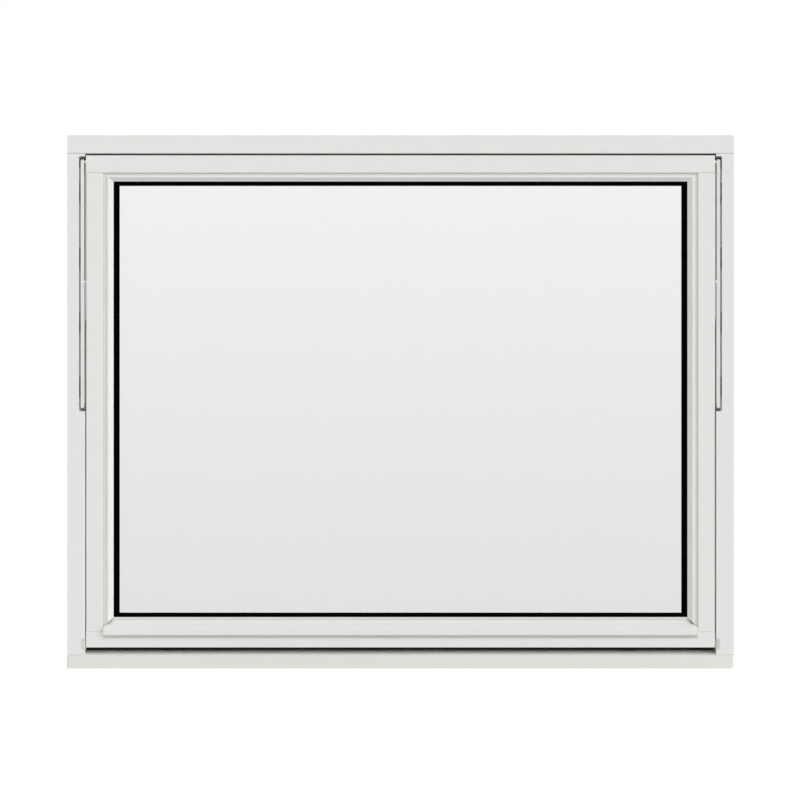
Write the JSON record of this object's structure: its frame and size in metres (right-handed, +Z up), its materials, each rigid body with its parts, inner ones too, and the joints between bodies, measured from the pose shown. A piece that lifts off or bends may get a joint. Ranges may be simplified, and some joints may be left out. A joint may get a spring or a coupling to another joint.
{
  "type": "top-hung window",
  "caption": "Outward-opening top-hung timber window in its frame: double-glazed sash on friction stays let into the jambs, with drip bead and espagnolette handle.",
  "frame": {"origin": "middle of the sill's underside, midway between the frame's front and back faces", "axes": "+X along the width, to the right seen from outdoors; -Y outdoors; +Z up"},
  "size_m": [1.5, 0.121, 1.2],
  "materials": {
    "painted_timber": "white satin paint on pine",
    "zinc_steel": "zinc plated",
    "epdm": "matt black EPDM",
    "charcoal_strip": "soft charcoal weatherstrip",
    "black_zinc": "black zinc plated",
    "white_coated_metal": "white powder coat",
    "grey_plastic": "moulded, light grey",
    "dark_plastic": "moulded, dark grey",
    "nylon": "moulded, natural",
    "black_spacer": "matt black warm-edge bar",
    "clear_glass": "clear float glass"
  },
  "bodies": {
    "frame": {"frame_head": "painted_timber", "frame_sill": "painted_timber", "frame_jamb_left": "painted_timber", "frame_jamb_right": "painted_timber", "weatherstrip_head": "charcoal_strip", "weatherstrip_sill": "charcoal_strip", "weatherstrip_left": "charcoal_strip", "weatherstrip_right": "charcoal_strip", "stay_track_left": "white_coated_metal", "stay_track_right": "white_coated_metal", "track_packers": "dark_plastic", "track_screws": "zinc_steel", "arm_rivets": "zinc_steel", "guide_block_left": "grey_plastic", "guide_block_right": "grey_plastic", "lock_keep_left": "black_zinc", "lock_keep_right": "black_zinc", "keep_screws": "black_zinc"},
    "sash": {"sash_top_rail": "painted_timber", "sash_bottom_rail": "painted_timber", "sash_stile_left": "painted_timber", "sash_stile_right": "painted_timber", "bead_top": "painted_timber", "bead_left": "painted_timber", "bead_right": "painted_timber", "drip_bead": "painted_timber", "glass_outer": "clear_glass", "glass_inner": "clear_glass", "spacer_frame": "black_spacer", "edge_seal": "epdm", "outer_gasket": "epdm", "inner_gasket": "epdm", "setting_blocks": "grey_plastic", "sash_bar_left": "zinc_steel", "sash_bar_right": "zinc_steel", "bar_rivets": "zinc_steel", "bar_screws": "zinc_steel", "lock_case": "zinc_steel", "lock_faceplate": "zinc_steel", "faceplate_screws": "zinc_steel", "handle_rose": "white_coated_metal", "rose_screws": "zinc_steel"},
    "arm_left": {"stay_arm_left": "zinc_steel"},
    "arm_right": {"stay_arm_right": "zinc_steel"},
    "shoe_left": {"stay_shoe_left": "nylon"},
    "shoe_right": {"stay_shoe_right": "nylon"},
    "handle": {"handle_lever": "white_coated_metal", "handle_spindle": "zinc_steel"},
    "rod_left": {"lock_rod_left": "zinc_steel", "lock_cam_left": "black_zinc"},
    "rod_right": {"lock_rod_right": "zinc_steel", "lock_cam_right": "black_zinc"}
  },
  "joints": [
    {"name": "arm_left_swing", "type": "hinge", "parent": "frame", "child": "arm_left", "pos_m": [-0.7105, -0.044, 0.5981], "axis": [1, 0, 0], "range_deg": [0, 60]},
    {"name": "sash_swing", "type": "hinge", "parent": "arm_left", "child": "sash", "pos_m": [-0.7105, -0.044, 0.8683], "axis": [-1, 0, 0], "range_deg": [0, 120]},
    {"name": "arm_right_swing", "type": "hinge", "parent": "frame", "child": "arm_right", "pos_m": [0.7105, -0.044, 0.5981], "axis": [1, 0, 0], "range_deg": [0, 60]},
    {"name": "shoe_left_pivot", "type": "hinge", "parent": "sash", "child": "shoe_left", "pos_m": [-0.708, -0.044, 1.1385], "axis": [1, 0, 0], "range_deg": [0, 60]},
    {"name": "shoe_right_pivot", "type": "hinge", "parent": "sash", "child": "shoe_right", "pos_m": [0.708, -0.044, 1.1385], "axis": [1, 0, 0], "range_deg": [0, 60]},
    {"name": "handle_turn", "type": "hinge", "parent": "sash", "child": "handle", "pos_m": [0, 0.0005, 0.088], "axis": [0, -1, 0], "range_deg": [0, 90]},
    {"name": "rod_left_slide", "type": "slide", "parent": "sash", "child": "rod_left", "axis": [-1, 0, 0], "range_m": [0, 0.018]},
    {"name": "rod_right_slide", "type": "slide", "parent": "sash", "child": "rod_right", "axis": [1, 0, 0], "range_m": [0, 0.018]}
  ],
  "couplings": [
    {"joint": "sash_swing", "follows": "arm_left_swing", "ratio": 2},
    {"joint": "arm_right_swing", "follows": "arm_left_swing", "ratio": 1},
    {"joint": "shoe_left_pivot", "follows": "arm_left_swing", "ratio": 1},
    {"joint": "shoe_right_pivot", "follows": "arm_left_swing", "ratio": 1},
    {"joint": "rod_left_slide", "follows": "handle_turn", "m_per_rad": 0.011459},
    {"joint": "rod_right_slide", "follows": "handle_turn", "m_per_rad": 0.011459}
  ]
}
